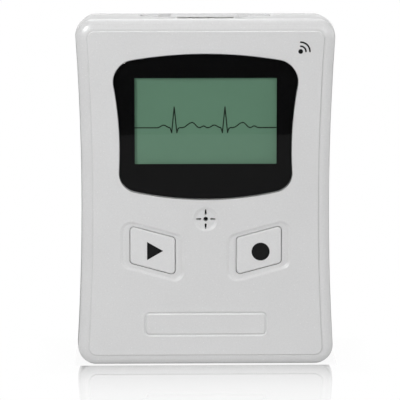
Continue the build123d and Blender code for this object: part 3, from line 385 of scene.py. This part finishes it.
def ceramic(name, colour):
    """Fired ceramic: chalky speckle under a thin sheen."""
    finish = Finish(name)
    chalk = finish.ramp(finish.noise(0.3, detail=4.0), 0.3, 0.7)
    base = finish.tint(chalk, shade(colour, 0.88), shade(colour, 1.06))
    finish.set(Base_Color=base, Roughness=finish.ramp(finish.noise(0.8), 0.3, 0.7, 0.45, 0.6), IOR=1.6)
    finish.relief(finish.noise(0.15, detail=3.0), 0.004)
    return finish.material


def all_finishes():
    """One material for each of the record's slots."""
    white = (0.76, 0.76, 0.762)
    pale = shade(white, 1.02)
    return {
        # dust_and_shade: dust and painted shade darken the gaps of the case and the buttons
        "case_plastic": moulded("case_plastic", white, roughness=0.25, dust_and_shade=0.3, flecks=0.42,
                                speck_share=0.02),
        "button_plastic": moulded("button_plastic", pale, grain=0.35, depth=0.004, dust_and_shade=0.3),
        "lens_clear": clear_lens(),
        "mask_black": printed("mask_black", (0.0035, 0.0035, 0.0037), shine=0.0),
        "tape_black": printed("tape_black", (0.02, 0.02, 0.02), roughness=0.7),
        "display_green": display_face(),
        "display_ink": printed("display_ink", (0.018, 0.024, 0.019), shine=0.0),
        "frame_white": moulded("frame_white", (0.72, 0.72, 0.7), grain=0.3, roughness=0.5),
        "light_panel": moulded("light_panel", (0.8, 0.84, 0.82), grain=0.6, depth=0.002, roughness=0.2),
        "zebra_rubber": rubber("zebra_rubber", (0.32, 0.16, 0.15), layers=0.12),
        "print_black": printed("print_black", (0.006, 0.006, 0.006), roughness=0.6, shine=0.14),
        "switch_black": moulded("switch_black", (0.03, 0.03, 0.03), grain=0.2, roughness=0.42, uneven=0.05),
        "plunger_cream": moulded("plunger_cream", (0.68, 0.63, 0.5), grain=0.2, roughness=0.4),
        "thin_steel": metal("thin_steel", (0.62, 0.62, 0.6), stretch=(10, 1, 1)),
        "screw_steel": metal("screw_steel", (0.55, 0.55, 0.54), roughness=0.34, stretch=(1, 1, 1)),
        "pin_steel": metal("pin_steel", (0.6, 0.6, 0.6), roughness=0.22),
        "capsule_metal": metal("capsule_metal", (0.75, 0.75, 0.76), stretch=(1, 8, 1)),
        "boot_rubber": rubber("boot_rubber", (0.03, 0.03, 0.03)),
        "felt_black": felt("felt_black", (0.006, 0.006, 0.006)),
        "board_green": circuit_board(),
        "chip_black": moulded("chip_black", (0.025, 0.025, 0.027), grain=0.12, roughness=0.55, uneven=0.06),
        "crystal_can": metal("crystal_can", (0.7, 0.7, 0.68), stretch=(8, 1, 1)),
        "capacitor_can": metal("capacitor_can", (0.74, 0.74, 0.76), stretch=(1, 10, 1)),
        "ferrite_grey": ceramic("ferrite_grey", (0.1, 0.1, 0.105)),
        "antenna_ceramic": ceramic("antenna_ceramic", (0.82, 0.8, 0.74)),
        "socket_metal": metal("socket_metal", (0.6, 0.6, 0.59), stretch=(6, 1, 1)),
        "tongue_black": moulded("tongue_black", (0.018, 0.018, 0.018), grain=0.2, roughness=0.45,
                                uneven=0.05),
        "contact_gold": metal("contact_gold", (0.85, 0.62, 0.26), roughness=0.2),
        "cell_steel": metal("cell_steel", (0.68, 0.68, 0.67), stretch=(1, 1, 14)),
        "sleeve_plastic": moulded("sleeve_plastic", (0.13, 0.16, 0.2), grain=1.2, depth=0.003, roughness=0.2),
        "contact_steel": metal("contact_steel", (0.68, 0.68, 0.66), stretch=(1, 10, 1)),
        "insert_brass": metal("insert_brass", (0.72, 0.5, 0.2), stretch=(1, 6, 1)),
    }


def dress_nodes():
    """Give every node of the frame the finish of its slot."""
    finishes = all_finishes()
    for part in frame["record"]["subparts"]:
        for slot in frame["nodes"][part["node"]].material_slots:
            slot.material = finishes[part["material_slot"]]


def floor_outline():
    """The floor from above: straight back and sides, and a front end whose corners are quarter circles."""
    turns = np.linspace(0, math.pi / 2, CORNER_POINTS)
    arc_x = (FLOOR_HALF_WIDTH - FLOOR_CORNER) + FLOOR_CORNER * np.cos(turns)
    arc_y = -(FLOOR_FRONT - FLOOR_CORNER) - FLOOR_CORNER * np.sin(turns)
    x = np.concatenate([[FLOOR_HALF_WIDTH], arc_x, -arc_x[::-1], [-FLOOR_HALF_WIDTH]])
    y = np.concatenate([[FLOOR_BACK], arc_y, arc_y[::-1], [FLOOR_BACK]])
    return np.column_stack([x, y, np.zeros(len(x))])[::-1]


def floor_finish():
    """Pale sheet that shows white to the camera, with a polish round the recorder that only the camera sees.
    The recorder's own shine shows the sheet darker towards its front end."""
    finish = Finish("floor_white")
    split = finish.add("ShaderNodeSeparateXYZ")
    finish.put(finish.place, split.inputs["Vector"])
    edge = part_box("rear_cover")[1]
    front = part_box("front_cover")[0].y

    # How far a place on the sheet lies outside the recorder: beside it, before its front, behind its back
    beside = finish.join(finish.join(split.outputs["X"], 0.0, "ABSOLUTE"), edge.x, "SUBTRACT")
    before = finish.join(front, split.outputs["Y"], "SUBTRACT")
    behind = finish.join(split.outputs["Y"], edge.y, "SUBTRACT")
    clear = finish.join(beside, finish.join(before, behind, "MAXIMUM"), "MAXIMUM")

    # Paper under the lamps
    paper = finish.tint(finish.ramp(finish.noise(40.0), 0.3, 0.7), PAPER_DARK, PAPER_PALE)
    body = finish.add("ShaderNodeBsdfDiffuse")
    finish.put(paper, body.inputs["Color"])

    # White glow for the camera, dimmer for the recorder's shine
    path = finish.add("ShaderNodeLightPath").outputs
    ahead = finish.ramp(before, MIRRORED_NEAR[0], MIRRORED_FAR[0], MIRRORED_NEAR[1], MIRRORED_FAR[1])
    level = finish.ramp(before, MIRRORED_BEHIND[0], 0, MIRRORED_BEHIND[1], 1.0)
    mirrored = finish.join(ahead, level, "MULTIPLY")
    glow = finish.add("ShaderNodeEmission")
    glow.inputs["Color"].default_value = (1, 1, 1, 1)
    finish.put(finish.join(path["Is Camera Ray"], mirrored, "MAXIMUM"), glow.inputs["Strength"])
    away = finish.ramp(clear, 0, SHADOW_REACH, WHITE_BESIDE, 1.0)
    seen = finish.join(path["Is Camera Ray"], away, "MULTIPLY")
    lifted = finish.join(seen, path["Is Glossy Ray"], "MAXIMUM")
    sheet = finish.mix(lifted, body.outputs["BSDF"], glow.outputs["Emission"])

    # Polish over both
    polish = finish.add("ShaderNodeBsdfGlossy")
    polish.inputs["Color"].default_value = (1, 1, 1, 1)
    polish.inputs["Roughness"].default_value = POLISH_ROUGHNESS
    fading = finish.join(finish.join(clear, -1 / POLISH_FADE, "MULTIPLY"), 0.0, "EXPONENT")
    started = finish.ramp(clear, POLISH_START, POLISH_START + POLISH_RISE, 0.0, POLISH)
    shown = finish.join(finish.join(fading, started, "MULTIPLY"), path["Is Camera Ray"], "MULTIPLY")
    finish.put(finish.mix(shown, sheet, polish.outputs["BSDF"]), finish.output.inputs["Surface"])
    return finish.material


def lay_floor():
    """The sheet that the recorder stands on."""
    points = floor_outline()
    mesh = bpy.data.meshes.new("floor")
    mesh.from_pydata(points.tolist(), [], [list(range(len(points)))])
    mesh.materials.append(floor_finish())
    floor = bpy.data.objects.new("floor", mesh)
    bpy.context.scene.collection.objects.link(floor)


def hang_lamps():
    """Soft square lamps, all turned to the recorder's middle."""
    for name, place, (width, height), power, mirrored in LAMPS:
        lamp = bpy.data.lights.new(name, "AREA")
        lamp.shape = "RECTANGLE"
        lamp.size, lamp.size_y = width, height
        lamp.energy = power
        holder = bpy.data.objects.new(name, lamp)
        holder.location = place
        holder.rotation_euler = (LOOK_AT - Vector(place)).to_track_quat("-Z", "Y").to_euler()
        holder.visible_glossy = mirrored
        bpy.context.scene.collection.objects.link(holder)


def light_sky():
    """White for the camera and faint for matt surfaces. Shiny surfaces and glass see a room that is white
    behind, dark in front and bright overhead."""
    world = bpy.data.worlds.new("studio")
    world.use_nodes = True
    sky = Nodes(world.node_tree)
    sky.tree.nodes.clear()
    path = sky.add("ShaderNodeLightPath").outputs
    direction = sky.add("ShaderNodeSeparateXYZ")
    sky.put(sky.add("ShaderNodeTexCoord").outputs["Generated"], direction.inputs["Vector"])
    walls = sky.ramp(direction.outputs["Y"], *ROOM_EDGE, ROOM_STRENGTH, 1.0)
    room = sky.join(walls, sky.steps(direction.outputs["Z"], CEILING), "MAXIMUM")
    mirrored = sky.join(path["Is Glossy Ray"], path["Is Transmission Ray"], "MAXIMUM")
    strength = sky.blend(path["Is Camera Ray"], sky.blend(mirrored, SKY_STRENGTH, room), 1.0)
    background = sky.add("ShaderNodeBackground")
    background.inputs["Color"].default_value = (1, 1, 1, 1)
    sky.put(strength, background.inputs["Strength"])
    output = sky.add("ShaderNodeOutputWorld")
    sky.put(background.outputs["Background"], output.inputs["Surface"])
    bpy.context.scene.world = world


def set_camera():
    """The camera at the photo's height and distance, with the recorder where the photo has it."""
    data = bpy.data.cameras.new("camera")
    data.sensor_width = SENSOR
    data.lens = FOCAL_PIXELS / IMAGE_SIDE * SENSOR
    data.shift_x = (IMAGE_SIDE / 2 - LOOK_PIXEL[0]) / IMAGE_SIDE
    data.shift_y = (LOOK_PIXEL[1] - IMAGE_SIDE / 2) / IMAGE_SIDE
    camera = bpy.data.objects.new("camera", data)
    level, height = math.cos(CAMERA_ELEVATION), math.sin(CAMERA_ELEVATION)
    back = Vector((-level * math.sin(CAMERA_TURN), -level * math.cos(CAMERA_TURN), height))
    camera.location = LOOK_AT + back * CAMERA_DISTANCE
    camera.rotation_euler = (-back).to_track_quat("-Z", "Y").to_euler()
    bpy.context.scene.collection.objects.link(camera)
    bpy.context.scene.camera = camera


set_camera()
light_sky()
hang_lamps()
lay_floor()
dress_nodes()
bpy.context.scene.view_settings.view_transform = "Standard"
